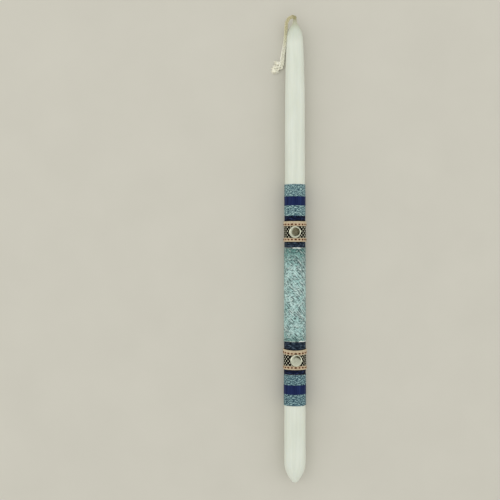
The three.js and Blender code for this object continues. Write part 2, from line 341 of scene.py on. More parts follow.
navyLook = {
    "deep": "#050916", "body": "#162232", "worn": "#4E5E6E",
    "outer": "#9299D4", "tuckAndShade": "#020203", "wrapMiddle": -0.040, "outerFrom": 0.047, "outerTo": 0.059,
}


# Crinkled gauze: pale aqua threads on the slant, with painted shade where a pleat shuts and a painted
# highlight on the ridge beside it
def makeGauze(look):
    material, shader = newMaterial("crinkledGauze", clothSkin)
    cloud = addNode(material, "TexNoise", {
        "Vector": clothPlace(material, (6, 8)), "Scale": 1, "Detail": 3, "Roughness": 0.6})
    clothTone = addNode(material, "ValToRGB", {"Fac": cloud}, stops=[
        (0.36, look["dark"]), (0.48, look["body"]), (0.64, look["light"])])
    # Painted shade where the cloth is drawn in at its ends
    along = addNode(material, "SeparateXYZ", {"Vector": clothPlace(material)}, out="Y")
    for start, full, tint in look["shadedEnds"]:
        deeper = addNode(material, "MapRange", {"Value": along, "From Min": start, "From Max": full})
        clothTone = addNode(
            material, "Mix", {0: deeper, 6: clothTone, 7: colour(tint)}, blend_type="MULTIPLY", **colourMix)
    slants = [addNode(material, "TexNoise", {
        "Vector": clothPlace(material, size, turn), "Scale": 1, "Detail": 1})
        for turn, size in look["threads"]]
    both = addNode(material, "Math", {0: slants[0], 1: slants[1]}, operation="ADD")
    half = addNode(material, "Math", {0: both, 1: 0.5}, operation="MULTIPLY")
    threads = addNode(material, "ValToRGB", {"Fac": half}, stops=[(0.40, 0.20), (0.5, 0.5), (0.60, 0.80)])
    cloth = addNode(material, "Mix", {0: 0.72, 6: clothTone, 7: threads}, blend_type="OVERLAY", **colourMix)
    # Painted shade in the shut pleats: the mesh has some of them, and its attribute marks them. Here are the
    # finer ones, painted only.
    dark = addNode(material, "Attribute", attribute_name="paintedFoldShade", out="Fac")
    for turn, cell, chosen, reach in look["pleatShades"]:
        away = addNode(material, "TexVoronoi", {
            "Vector": clothPlace(material, cell, turn), "Scale": 1, "Randomness": look["scatter"]},
            out="Distance", voronoi_dimensions="2D")
        near = addNode(material, "MapRange", {
            "Value": away, "From Min": 0.0, "From Max": reach, "To Min": 1.0, "To Max": 0.0},
            interpolation_type="SMOOTHSTEP")
        lot = addNode(material, "SeparateColor", {"Color": away.node.outputs["Color"]}, out="Red")
        drawn = addNode(material, "Math", {0: lot, 1: chosen}, operation="LESS_THAN")
        pleatShade = addNode(material, "Math", {0: near, 1: drawn}, operation="MULTIPLY")
        dark = addNode(material, "Math", {0: dark, 1: pleatShade}, operation="MAXIMUM")
    # Painted highlight on the ridge beside each crease
    ridgeAndHighlight = addNode(material, "Attribute", attribute_name="ridgeAndHighlight", out="Fac")
    lit = addNode(material, "Mix", {0: ridgeAndHighlight, 6: cloth, 7: colour(look["ridgeAndHighlight"])}, **colourMix)
    tone = addNode(material, "Mix", {0: dark, 6: lit, 7: colour(look["creaseShade"])}, **colourMix)
    sunk = addNode(material, "Math", {0: half, 1: dark}, operation="SUBTRACT")
    normal = addNode(material, "Bump", {"Height": sunk, "Distance": 0.0003, "Strength": 0.6})
    return paint(material, shader, tone, normal)


gauzeLook = {
    "dark": "#93B5B3", "body": "#9FBCBB", "light": "#ADC8C6", "creaseShade": "#0F292F", "ridgeAndHighlight": "#EAF4F0",
    # how far along the cut each end's painted shade starts and is full, in mm, and what it does to the cloth
    "shadedEnds": [(63, 79, "#9DB9B5"), (9, 0, "#BCCBC8")],
    # turn in degrees, and length and thickness in mm: 0.3 mm apart, drawn 0.8 mm so that the slant shows
    "threads": [(-45, (5.5, 0.75)), (42, (3.2, 0.75))],
    # painted shade of the finer shut pleats: turn in degrees, cell in mm along and across, share of the
    # cells, and a pleat's reach in its cell
    "pleatShades": [(-45, (12.5, 2.3), 0.70, 0.31), (3, (4.6, 2.2), 0.56, 0.32), (40, (4.4, 2.2), 0.14, 0.32)],
    "scatter": 0.55,  # of the pleats from even rows
}


# Woven check: black and cream threads over and under, a little lift on each crossing
def makeCheck(look):
    material, shader = newMaterial("blackCreamCheck", {"Roughness": 0.85, "Specular IOR Level": 0.03})
    sides = []
    reach = []
    for direction in "XY":  # a wave's bands lie pi / 10 / Scale apart, and here that is two threads
        thread = addNode(material, "TexWave", {
            "Vector": clothPlace(material), "Scale": math.pi / 20 / look["cell"]},
            out="Fac", bands_direction=direction)
        sides.append(addNode(material, "Math", {0: thread, 1: 2, 2: -1}, operation="MULTIPLY_ADD"))
        reach.append(addNode(material, "Math", {0: sides[-1]}, operation="ABSOLUTE"))
    crossed = addNode(material, "Math", {0: sides[0], 1: sides[1]}, operation="MULTIPLY")
    over = addNode(material, "Math", {0: crossed}, operation="SIGN")
    nearest = addNode(material, "Math", {0: reach[0], 1: reach[1]}, operation="MINIMUM")
    lifted = addNode(material, "Math", {0: nearest, 1: over}, operation="MULTIPLY")
    bands = addNode(material, "ValToRGB", {"Fac": lifted}, stops=[
        (look["edge"] - look["blur"], look["black"]), (look["edge"] + look["blur"], look["cream"])])
    floss = addNode(material, "TexWave", {
        "Vector": clothPlace(material), "Scale": math.pi / 10 / look["floss"], "Distortion": 0.4},
        out="Fac", bands_direction="Y")
    shaded = addNode(material, "ValToRGB", {"Fac": floss}, stops=[(0.0, 0.62), (0.45, 1.0)])
    tone = addNode(material, "Mix", {0: 1, 6: bands, 7: shaded}, blend_type="MULTIPLY", **colourMix)
    dust = addNode(material, "TexNoise", {
        "Vector": clothPlace(material, (0.8, 0.8)), "Scale": 1, "Detail": 2}, out="Color")
    dusty = addNode(material, "Mix", {0: 0.3, 6: tone, 7: dust}, blend_type="SOFT_LIGHT", **colourMix)
    # The cap presses the threads in under its rim, and painted shade darkens them there
    pressAndShade = addNode(material, "Attribute", attribute_name="pressAndShade", out="Fac")
    rimShaded = addNode(material, "Mix", {0: pressAndShade, 6: dusty, 7: colour(look["black"])}, **colourMix)
    normal = addNode(material, "Bump", {"Height": lifted, "Distance": 0.00012, "Strength": 0.5})
    return paint(material, shader, rimShaded, normal)


checkLook = {
    "cell": 1.72,  # mm; the real threads are 0.9 mm wide, drawn about twice as wide so that they show
    "floss": 0.3,  # mm from one fine thread to the next
    "edge": 0.64, "blur": 0.06, "black": "#040403", "cream": "#F0EED6",
}


# Vegetable tanned leather strip: pale tan, fine grain, rosier where the stitching pulls it down
def makeLeather(look):
    material, shader = newMaterial("tanLeather", {"Roughness": 0.6, "Specular IOR Level": 0.25})
    cloud = addNode(material, "TexNoise", {
        "Vector": solidPlace(material), "Scale": 0.7, "Detail": 4, "Roughness": 0.6})
    base = addNode(material, "ValToRGB", {"Fac": cloud}, stops=[(0.35, look["shade"]), (0.62, look["tan"])])
    pull = addNode(material, "Attribute", attribute_name="pull", out="Fac")
    tone = addNode(material, "Mix", {0: pull, 6: base, 7: colour(look["rose"])}, **colourMix)
    pebble = addNode(material, "TexVoronoi", {"Vector": solidPlace(material), "Scale": 2.6}, out="Distance")
    grain = addNode(material, "Bump", {"Height": pebble, "Distance": 0.00005, "Strength": 0.5})
    normal = addNode(material, "Bump", {
        "Height": cloud, "Distance": 0.0001, "Strength": 0.4, "Normal": grain})
    return paint(material, shader, tone, normal)


leatherLook = {"tan": "#C5B79B", "shade": "#B2A187", "rose": "#DFAC8B"}


# Waxed linen thread: dark brown, two plies with a twist
def makeThread(look):
    material, shader = newMaterial("waxedThread", {"Roughness": 0.7, "Specular IOR Level": 0.1})
    twist = addNode(material, "TexWave", {
        "Vector": solidPlace(material), "Scale": 0.8, "Distortion": 1, "Detail": 1},
        out="Fac", bands_direction="DIAGONAL")
    tone = addNode(material, "ValToRGB", {"Fac": twist}, stops=[(0.2, look["deep"]), (0.9, look["light"])])
    normal = addNode(material, "Bump", {"Height": twist, "Distance": 0.00008, "Strength": 0.6})
    return paint(material, shader, tone, normal)


threadLook = {"deep": "#361800", "light": "#6B3704"}


# Pressed steel with polished nickel plate: nearly a mirror, with a faint haze from the barrel
def makeNickel(look):
    material, shader = newMaterial("polishedNickel", {"Metallic": 1.0, "Roughness": look["roughness"]})
    haze = addNode(material, "TexNoise", {"Vector": solidPlace(material), "Scale": 0.5, "Detail": 3})
    tone = addNode(material, "ValToRGB", {"Fac": haze}, stops=[(0.3, look["shade"]), (0.7, look["plate"])])
    normal = addNode(material, "Bump", {"Height": haze, "Distance": 0.00002, "Strength": 0.3})
    return paint(material, shader, tone, normal)


nickelLook = {"plate": "#D3D5C2", "shade": "#C7C9B6", "roughness": 0.12}


# Loose ends of thread: dull
def makeFray(name, tones):
    material, shader = newMaterial(name, {"Roughness": 0.85, "Sheen Weight": 0.4, "Sheen Roughness": 0.6})
    blotch = addNode(material, "TexNoise", {"Vector": solidPlace(material), "Scale": 0.8, "Detail": 2})
    tone = addNode(material, "ValToRGB", {"Fac": blotch}, stops=[(0.35, tones[0]), (0.65, tones[1])])
    return paint(material, shader, tone)


# Painted board: matt, pale, barely mottled
def makeBoard(name, tones):
    material, shader = newMaterial(name, {"Roughness": 0.9, "Specular IOR Level": 0.2})
    mottle = addNode(material, "TexNoise", {"Vector": solidPlace(material), "Scale": 0.02, "Detail": 3})
    tone = addNode(material, "ValToRGB", {"Fac": mottle}, stops=[(0.3, tones[0]), (0.7, tones[1])])
    return paint(material, shader, tone)


dippedParaffin = makeWax(waxLook)
cottonYarn = makeCotton("cottonBraid", dryCotton)
waxedYarn = makeCotton("waxedCottonBraid", waxedCotton)
chambray = {end: makeChambray(end + "ChambrayLinen", look) for end, look in chambrayLooks.items()}
navySatin = makeSatin(satinLook)
navyCloth = makeNavyCloth(navyLook)
gauze = makeGauze(gauzeLook)
checkWeave = makeCheck(checkLook)
tanLeather = makeLeather(leatherLook)
waxedThread = makeThread(threadLook)
nickel = makeNickel(nickelLook)
gauzeFray = makeFray("gauzeThreadEnds", ("#8DADA9", "#B5CCC7"))
gauzeWisp = makeFray("bleachedGauzeThread", ("#E6F0EC", "#FFFFFF"))
cottonFray = makeFray("cottonFibres", ("#F4EFDB", "#FFFFF6"))
print("materials made")


# Wick

wickLook = {
    "exit": (-0.0022, 0.2020, axisHeight),
    "onTable": 0.00133,      # height of the wick's middle where it lies on the table
    "diameter": 0.0026,
    "strandRadius": 0.00072,
    "swing": 0.00092,        # a strand's way to either side in the braid
    "lift": 0.00042,         # its way up and down
    "wander": 0.00012,       # and its uneven way aside
    "slack": 0.00048,        # more swing where the braid has loosened on the table
    "swollen": 0.14,         # how much thicker the strands have grown there, as a share
    "loosens": (0.45, 0.30),  # from this share of the length on, over this share of it
    "pitch": 0.0068,         # one whole turn of a strand
    "ply": 0.0022,           # twist of the yarns in a strand
    "sides": 12,
    "ringGap": 0.00028,      # from one ring of a strand to the next
    "easing": 60,            # rounds of easing
    "frayed": 20,            # rings of a strand's end that go over into fibres
    # how far before the end each strand leaves the braid, and how far to the inner side it then lies
    "opening": [(0.0064, -0.0011), (0.0060, 0.0003), (0.0086, 0.0022)],
    "opensIn": 0.0042,       # the way that it takes for that
}

# Right, towards the tip, and share of the drop to the table, in mm from the exit
wickRoute = [
    (0, 0, 1), (-1.6, -0.3, 0.993), (-3.3, -1.4, 0.965), (-4.5, -3.2, 0.914), (-5.1, -5.8, 0.82),
    (-5.35, -9.3, 0.66), (-5.6, -13, 0.47), (-5.9, -17.5, 0.25), (-6.4, -22, 0.075), (-7.1, -26.5, 0),
    (-7.8, -31, 0), (-8.3, -34.8, 0), (-8.6, -37.5, 0), (-8.95, -40, 0), (-9.8, -42.4, 0),
    (-11.4, -44.2, 0), (-13.5, -45.1, 0), (-15.7, -45, 0),
]


# A smooth line through points, closer together than the points are
def smoothLine(points, steps):
    ends = [2 * points[0] - points[1], *points, 2 * points[-1] - points[-2]]
    line = []
    for k in range(len(points) - 1):
        a, b, c, d = ends[k:k + 4]
        t1 = (b - a).length ** 0.5
        t2 = t1 + (c - b).length ** 0.5
        t3 = t2 + (d - c).length ** 0.5
        for step in range(steps):
            t = t1 + (t2 - t1) * step / steps
            p = a.lerp(b, t / t1)
            q = b.lerp(c, (t - t1) / (t2 - t1))
            r = c.lerp(d, (t - t2) / (t3 - t2))
            p = p.lerp(q, t / t2)
            q = q.lerp(r, (t - t1) / (t3 - t1))
            line.append(p.lerp(q, (t - t1) / (t2 - t1)))
    return line + [points[-1].copy()]


def evenLine(line, gap):
    walked = [0]
    for p, q in zip(line, line[1:]):
        walked.append(walked[-1] + (q - p).length)
    count = max(2, round(walked[-1] / gap))
    even = []
    k = 0
    for step in range(count + 1):
        target = walked[-1] * step / count
        while k < len(walked) - 2 and walked[k + 1] < target:
            k += 1
        share = (target - walked[k]) / max(walked[k + 1] - walked[k], 1e-9)
        even.append(line[k].lerp(line[k + 1], share))
    return even, walked[-1]


# Ahead, to the right and up, at a point of a line
def axesAt(line, k):
    ahead = (line[min(k + 1, len(line) - 1)] - line[max(k - 1, 0)]).normalized()
    across = ahead.cross(up).normalized()
    return ahead, across, across.cross(ahead)


# A limp cord rounds off every bend, so the line is eased towards its neighbours again and again
def easeLine(line, rounds):
    for _ in range(rounds):
        line = [line[0], *((a + 2 * b + c) / 4 for a, b, c in zip(line, line[1:], line[2:])), line[-1]]
    return line


# How far the braid has loosened at a share of its length
def loosened(look, share):
    start, over = look["loosens"]
    return min(1.0, max(0.0, share - start) / over)


# A round yarn along a line, with plies that twist round it; its map is in millimetres
def sweepYarn(shape, layer, inside, line, middle, look, reach, loose):
    sides = look["sides"]
    rings = []
    walked = 0
    for k, point in enumerate(line):
        if k:
            walked += (point - line[k - 1]).length
        _, across, above = axesAt(line, k)
        share = k / (len(line) - 1)
        radius = look["strandRadius"]
        if loose:
            radius *= 1 + look["swollen"] * loosened(look, share)
            radius *= 1 - 0.7 * max(0, k - (len(line) - 1 - look["frayed"])) / look["frayed"]
        heart = middle[round((len(middle) - 1) * share)]
        ring = []
        for side in range(sides):
            turn = 2 * math.pi * side / sides
            bulge = 1 + 0.1 * math.cos(3 * turn - 2 * math.pi * walked / look["ply"])
            away = (across * math.cos(turn) + above * math.sin(turn)) * radius * bulge
            vertex = shape.verts.new(point + away)
            vertex[inside] = min(1.0, max(0.0, 0.85 - ((point + away) - heart).length / reach) * 1.7)
            ring.append(vertex)
        rings.append((ring, walked * 1000))
    girth = 2 * math.pi * look["strandRadius"] * 1000
    for (ring, start), (following, end) in zip(rings, rings[1:]):
        for side in range(sides):
            beside = (side + 1) % sides
            face = shape.faces.new((ring[side], ring[beside], following[beside], following[side]))
            face.smooth = True
            left, right = girth * side / sides, girth * (side + 1) / sides
            for loop, place in zip(face.loops, ((left, start), (right, start), (right, end), (left, end))):
                loop[layer].uv = place
    shape.faces.new(reversed(rings[0][0]))
    shape.faces.new(rings[-1][0])


# Three strands that pass over each other in turn, along a route that starts part of the way into the braid
def layBraid(name, route, look, walkedBefore, opening=None):
    line, length = evenLine(route, look["ringGap"])
    shape = bmesh.new()
    layer = shape.loops.layers.uv.new("strandMap")
    inside = shape.verts.layers.float.new("inside")
    reach = look["swing"] + look["strandRadius"]
    ends = []
    for strand in range(3):
        points = []
        for k, point in enumerate(line):
            walked = length * k / (len(line) - 1)
            turn = 2 * math.pi * ((walked + walkedBefore) / look["pitch"] + strand / 3)
            loose = slack = aside = 0.0
            if opening:
                before, aside = opening[strand]
                loose = min(1.0, max(0.0, (walked - length + before) / look["opensIn"]))
                loose = loose * loose * (3 - 2 * loose)
                slack = look["slack"] * loosened(look, walked / length)
            _, across, above = axesAt(line, k)
            swing = (look["swing"] + slack) * math.sin(turn) * (1 - loose) + aside * loose
            lift = look["lift"] * math.sin(2 * turn) * (1 - loose)
            wander = noise.noise(Vector((strand * 7.3, walked * 260, 1.7))) * look["wander"]
            points.append(point + across * (swing + wander) + above * lift)
        yarn, _ = evenLine(points, look["ringGap"])
        sweepYarn(shape, layer, inside, yarn, line, look, reach, opening is not None)
        ends.append(yarn[-look["frayed"]:])
    mesh = bpy.data.meshes.new(name)
    shape.to_mesh(mesh)
    shape.free()
    piece = bpy.data.objects.new(name, mesh)
    bpy.context.scene.collection.objects.link(piece)
    return piece, line, length, ends


# Loose fibres: each is a thin tube through a few points, all in one mesh
def layFibres(name, runs, radius):
    shape = bpy.data.curves.new(name, "CURVE")
    shape.dimensions = "3D"
    shape.bevel_depth = 1
    shape.bevel_resolution = 0
    shape.use_fill_caps = True
    shape.resolution_u = 3
    for run in runs:
        spline = shape.splines.new("BEZIER")
        spline.bezier_points.add(len(run) - 1)
        for knot, place in zip(spline.bezier_points, run):
            knot.co = place
            knot.handle_left_type = knot.handle_right_type = "AUTO"
            knot.radius = radius
        spline.bezier_points[-1].radius = radius * 0.5
    piece = bpy.data.objects.new(name, shape)
    bpy.context.scene.collection.objects.link(piece)
    deselectAll()
    piece.select_set(True)
    bpy.context.view_layer.objects.active = piece
    bpy.ops.object.convert(target="MESH")
    smoothActive(60)
    return nameActive(name)


exitPoint = Vector(wickLook["exit"])
routePoints = []
for right, along, drop in wickRoute:
    height = wickLook["onTable"] + (axisHeight - wickLook["onTable"]) * drop
    routePoints.append(Vector((exitPoint.x + right * 0.001, exitPoint.y + along * 0.001, height)))

# The wick is a plain rod up to fromY in the wax, then a braid that bends over from bendY on
crookLook = {
    "fromY": 0.1975, "bendY": 0.2007, "topY": exitPoint.y, "reach": 0.0019, "steps": 8,
    "gap": 0.00002,  # between the crook and the free wick
    "rodRadius": 0.00125, "rodFrom": -0.19715, "rodEnd": 0.0004,
}


def crookRoute(look):
    foot = Vector((0, look["fromY"], axisHeight))
    start = Vector((0, look["bendY"], axisHeight))
    corner = Vector((0, look["topY"], axisHeight))
    end = Vector((-look["reach"], look["topY"], axisHeight))
    shares = [k / look["steps"] for k in range(look["steps"] + 1)]
    line = [foot.lerp(start, share) for share in shares[:-1]]
    return line + [start.lerp(corner, share).lerp(corner.lerp(end, share), share) for share in shares]


soakedLook = {**wickLook, "strandRadius": 0.00084, "swing": 0.00072}  # swollen and stuck together with wax
crook, _, crookLength, _ = layBraid("wickCrook", crookRoute(crookLook), soakedLook, 0)
tailStart = Vector((-crookLook["reach"] - crookLook["gap"], exitPoint.y, axisHeight))
tailRoute = evenLine([tailStart] + smoothLine(routePoints, 12), wickLook["ringGap"])[0]
tailRoute = easeLine(tailRoute, wickLook["easing"])
wickTail, tailLine, tailLength, looseStrands = layBraid(
    "wickTail", tailRoute, wickLook, crookLength, wickLook["opening"])


tuft = {
    "perStrand": 78, "radius": 0.00015, "length": (0.0010, 0.0033), "scatter": 0.0004, "seed": 11,
    # how far it curls aside, its least height, the height of its end, and by how much that varies
    "curl": 0.0014, "onTable": 0.0002, "endHeight": 0.0004, "lifted": (-0.0001, 0.0006),
    # how far each strand's fibres turn away from it, in radians; the inner one's stand up towards the tip
    "fans": [(-0.6, 0.7), (-0.9, 0.8), (-1.3, 0.9)],
    # a yarn has worked loose from the braid's inner side this far before its end
    "stray": {"count": 52, "before": 0.0106, "spread": 0.0016, "aside": 0.0009, "length": (0.0030, 0.0068),
              "fan": (-0.02, 0.72)},
}


# A curled fibre from its root, sinking to the table
def curlFibre(chance, root, heading, length, look):
    sideways = heading.cross(up)
    curl = chance.uniform(-look["curl"], look["curl"])
    run = []
    for step in range(4):
        share = step / 3
        place = root + heading * length * share + sideways * curl * share * share
        sunk = root.z * (1 - share) + look["endHeight"] * share
        place.z = max(look["onTable"], sunk + chance.uniform(*look["lifted"]))
        run.append(place)
    return run


def frayWickEnd(strands, line, look):
    chance = random.Random(look["seed"])
    runs = []
    scatter = look["scatter"]
    for strand, (low, high) in zip(strands, look["fans"]):
        for _ in range(look["perStrand"]):
            k = int(chance.triangular(2, len(strand) - 1, len(strand) - 1))
            heading = Matrix.Rotation(chance.uniform(low, high), 3, "Z") @ axesAt(strand, k)[0]
            root = strand[k] + Vector([chance.uniform(-scatter, scatter) for _ in range(3)])
            runs.append(curlFibre(chance, root, heading, chance.uniform(*look["length"]), look))
    stray = look["stray"]
    for _ in range(stray["count"]):
        before = stray["before"] + stray["spread"] * chance.uniform(-0.5, 0.5)
        k = round((len(line) - 1) * (1 - before / tailLength))
        inward = axesAt(line, k)[1]
        heading = Matrix.Rotation(chance.uniform(*stray["fan"]), 3, "Z") @ inward
        root = line[k] + inward * stray["aside"] + up * chance.uniform(-scatter, scatter)
        runs.append(curlFibre(chance, root, heading, chance.uniform(*stray["length"]), look))
    return layFibres("wickEndFibres", runs, look["radius"])


wickFibres = frayWickEnd(looseStrands, tailLine, tuft)
finishPiece(wickFibres, cottonFray, "wick_cotton")
finishPiece(wickTail, cottonYarn, "wick_cotton", "wick_tail")
print("wick laid, %.1f mm of it free" % (tailLength * 1000))


# Turned pieces: a ring is drawn out and resized again and again, as on a lathe

def turnPiece(name, profile, sides, foot, axis):
    deselectAll()
    radius, along = profile[0]
    tilt = axis.to_track_quat("Z", "Y").to_euler()
    bpy.ops.mesh.primitive_circle_add(
        vertices=sides, radius=radius, fill_type="NGON", location=foot + axis * along, rotation=tilt)
    piece = nameActive(name)
    applyPlace()
    bpy.ops.object.mode_set(mode="EDIT")
    bpy.ops.mesh.select_all(action="SELECT")
    for nextRadius, nextAlong in profile[1:]:
        bpy.ops.mesh.extrude_region_move(TRANSFORM_OT_translate={"value": axis * (nextAlong - along)})
        factor = nextRadius / radius
        bpy.ops.transform.resize(
            value=[1 if abs(c) > 0.5 else factor for c in axis], center_override=foot + axis * nextAlong)
        radius, along = nextRadius, nextAlong
    bpy.ops.mesh.select_all(action="SELECT")
    bpy.ops.mesh.normals_make_consistent(inside=False)
    bpy.ops.object.mode_set(mode="OBJECT")
    smoothActive(50)
    return piece


# Wax body

candle = {
    "length": 0.400,
    "buttFlat": 0.0022,
    "buttEase": 0.0005,
    "buttRound": 0.018,
    "buttRadius": 0.00955,
    "shoulderRadius": 0.0087,
    "shoulderLength": 0.067,
    "neckRadius": 0.0018,
    "neckLength": 0.0026,
    "boreRadius": 0.00145,
    "boreDepth": 0.0022,
    "sides": 128,
    "buttRings": 18,
    "sideRings": 64,
    "unevenness": 0.00006,
    # share of the radius from neck to shoulder, and share of the shoulder's length below the tip
    "tip": [(1, 1), (0.93, 0.61), (0.87, 0.42), (0.81, 0.28), (0.73, 0.17), (0.51, 0.095),
            (0.25, 0.043), (0, 0)],
}
taperLength = candle["length"] - candle["shoulderLength"] - candle["buttRound"]
taperSlope = (candle["buttRadius"] - candle["shoulderRadius"]) / taperLength


def waxProfile(look):
    rings = []
    flat, wide, round_ = look["buttFlat"], look["buttRadius"], look["buttRound"]
    for k in range(look["buttRings"] + 1):  # the rounded butt is one soft curve from the flat to the side
        t = 1 - math.cos(math.pi / 2 * k / look["buttRings"])
        radius = (1 - t) ** 2 * flat + 2 * t * (1 - t) * wide + t * t * wide
        station = 2 * t * (1 - t) * round_ / 2 + t * t * round_
        radius -= look["buttEase"] * math.exp(-station / look["buttEase"])
        rings.append((radius * facetShare, station))
    for k in range(1, look["sideRings"]):
        along = taperLength * k / look["sideRings"]
        rings.append(((wide - taperSlope * along) * facetShare, round_ + along))
    knots = []
    for radiusShare, lengthShare in look["tip"]:
        radius = look["neckRadius"] + (look["shoulderRadius"] - look["neckRadius"]) * radiusShare
        knots.append(Vector((radius, look["length"] - look["shoulderLength"] * lengthShare, 0)))
    knots.append(Vector((look["neckRadius"] * 0.97, look["length"] + look["neckLength"] * 0.85, 0)))
    for point in smoothLine(knots, 6):
        rings.append((point.x * facetShare, point.y))
    # The neck's rim turns over into the bore
    top = look["length"] + look["neckLength"]
    wall = (look["neckRadius"] - look["boreRadius"]) * facetShare
    rings += [
        (look["neckRadius"] * facetShare - 0.1 * wall, top - 0.0001),
        (look["neckRadius"] * facetShare - 0.4 * wall, top),
        (look["boreRadius"] + 0.2 * wall, top - 0.00002),
        (look["boreRadius"], top - 0.0003),
        (look["boreRadius"] * 0.96, top - look["boreDepth"]),
    ]
    return rings


# Faint runs, drawn out along the candle, as dipping leaves them
def roughenWax(piece, amount):
    for vertex in piece.data.vertices:
        place = vertex.co
        out = Vector((place.x, 0, place.z - axisHeight))
        if out.length > 0.002:  # not in the neck's bore
            out.normalize()
            spot = Vector((out.x * 1.3, place.y * 45, out.z * 1.3))
            vertex.co -= out * amount * (0.5 + 0.5 * noise.noise(spot))


waxBody = turnPiece(
    "waxBody", waxProfile(candle), candle["sides"], axisFoot + towardsTip * buttEnd, towardsTip)
roughenWax(waxBody, candle["unevenness"])
finishPiece(waxBody, dippedParaffin, "wax", "wax_body")
print("wax turned")


def makeRod(look):
    radius, low, high, rounded = look["rodRadius"], look["rodFrom"], look["fromY"], look["rodEnd"]
    profile = [(radius * 0.8, low), (radius, low + rounded), (radius, high - rounded), (radius * 0.8, high)]
    return turnPiece("wickRod", profile, 16, axisFoot, towardsTip)


wickCore = joinPieces("wickCore", [crook, makeRod(crookLook)])
finishPiece(wickCore, waxedYarn, "wick_cotton", "wick_core")
print("wick core set in the wax")


# Cloth: each ribbon starts as its flat cut and is then wound round the candle

lapGap = 0.00002      # between the two layers of a lap
edgeGrain = 0.0021    # from one bump of a wavy edge to the next, about
swellGrain = 0.006    # and from one swelling of the cloth to the next


def ringRadius(node):
    low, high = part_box(node)
    return (high.x - low.x) / 2


# The flat cut goes round the axis from its seam. A relief sinks it in places and marks them.
def windCloth(name, node, look, relief=None):
    low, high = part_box(node)
    start = low.y + look.get("lowEdge", 0)
    width = high.y + look.get("highEdge", 0) - start
    outer = ringRadius(node) + look.get("proud", 0)
    slope = taperSlope if look.get("tapers", True) else 0
    lap = look.get("lap", 0)
    turn = 2 * math.pi + lap - look.get("gap", 0) / outer
    if lap:
        outer -= look["thickness"] + lapGap
    cutLength = (outer - slope * width / 2) * turn
    deselectAll()
    bpy.ops.mesh.primitive_grid_add(
        x_subdivisions=look["around"], y_subdivisions=look["rows"], size=1, calc_uvs=True)
    strip = nameActive(name)
    mesh = strip.data
    spots = np.zeros(len(mesh.vertices) * 3)
    mesh.vertices.foreach_get("co", spots)
    spots = spots.reshape(-1, 3) + 0.5
    u, v = spots[:, 0] * cutLength, spots[:, 1] * width
    angle = look["seam"] + spots[:, 0] * turn + look.get("gap", 0) / outer / 2
    radius = outer - slope * v
    if lap:
        rise = np.clip((spots[:, 0] * turn - (2 * math.pi - lap * 0.6)) / (lap * 0.6), 0, 1)
        radius = radius + (look["thickness"] + lapGap) * rise * rise * (3 - 2 * rise)
    wobble = np.array([noise.noise(Vector((a / edgeGrain, look["seed"], 0.5))) for a in u])
    edge = 2 * spots[:, 1] - 1
    v = v - look["wobble"] * (0.5 + 0.5 * wobble) * edge * np.abs(edge) ** 7
    swell = np.array([
        noise.noise(Vector((a / swellGrain, b / swellGrain, look["seed"]))) for a, b in zip(u, v)])
    radius = radius - look["swell"] * (0.5 + 0.5 * swell)
    if relief:
        change, marks = relief(u, v, angle, width)
        radius = radius - change
        for mark, values in marks.items():
            attribute = mesh.attributes.new(mark, "FLOAT", "POINT")
            attribute.data.foreach_set("value", values.astype(np.float32))
    places = np.stack([radius * np.sin(angle), start + v, axisHeight + radius * np.cos(angle)], axis=1)
    mesh.vertices.foreach_set("co", places.ravel())
    flat = mesh.uv_layers[0]
    flat.name = "clothMap"
    cut = np.zeros(len(flat.data) * 2)
    flat.data.foreach_get("uv", cut)
    cut = cut.reshape(-1, 2) * [cutLength * 1000, width * 1000]
    flat.data.foreach_set("uv", cut.ravel())
    mesh.update()
    bpy.ops.object.modifier_add(type="SOLIDIFY")
    solid = strip.modifiers[-1]
    solid.thickness = look["thickness"]
    solid.offset = -1
    bpy.ops.object.modifier_apply(modifier=solid.name)
    smoothActive(60)
    return strip, (width, cutLength)


underSeam = math.radians(140.6)
overSeam = math.radians(219.4)

linenCloth = {"thickness": 0.00026, "around": 150, "rows": 60, "seam": underSeam, "gap": 0.00015,
              "wobble": 0.0002, "swell": 0.00008}
satinCloth = {"thickness": 0.00013, "around": 128, "rows": 16, "seam": overSeam, "lap": math.radians(22.5),
              "wobble": 0.00004, "swell": 0.00003, "seed": 2.0}
navyRibbon = {"thickness": 0.00013, "around": 150, "rows": 84, "seam": underSeam, "gap": 0.00015,
              "wobble": 0.00015, "swell": 0.00006}
wovenRibbon = {"thickness": 0.00018, "around": 180, "rows": 40, "seam": overSeam, "gap": 0.00015,
               "wobble": 0.0, "swell": 0.00002, "seed": 4.0, "tapers": False}

# How far each hand-laid ribbon's edges run past the CAD ones, towards the tip, so that neighbours touch
handLaid = {
    "lowerLinen": {**linenCloth, "lowEdge": -0.0005, "highEdge": -0.00055, "seed": 1.7},
    "upperLinen": {**linenCloth, "lowEdge": -0.0005, "highEdge": 0.0, "seed": 2.4},
    "lowerNavy": {**navyRibbon, "lowEdge": -0.00075, "highEdge": -0.0001, "seed": 3.7},
    "upperNavy": {**navyRibbon, "lowEdge": 0.0001, "highEdge": -0.0002, "seed": 4.4},
    "lowerWoven": {**wovenRibbon, "lowEdge": 0.0006, "highEdge": -0.0017},
    "upperWoven": {**wovenRibbon, "lowEdge": 0.0006, "highEdge": -0.0006},
}

# How far each trim's wick side edge bows towards the butt over the top
trimSag = {"lower": 0.0010, "upper": 0.0}
tuckLook = {"halfWidth": 0.00048, "depth": 0.00008}
pressLook = {"width": 0.00055, "depth": 0.00005, "shade": 0.95}


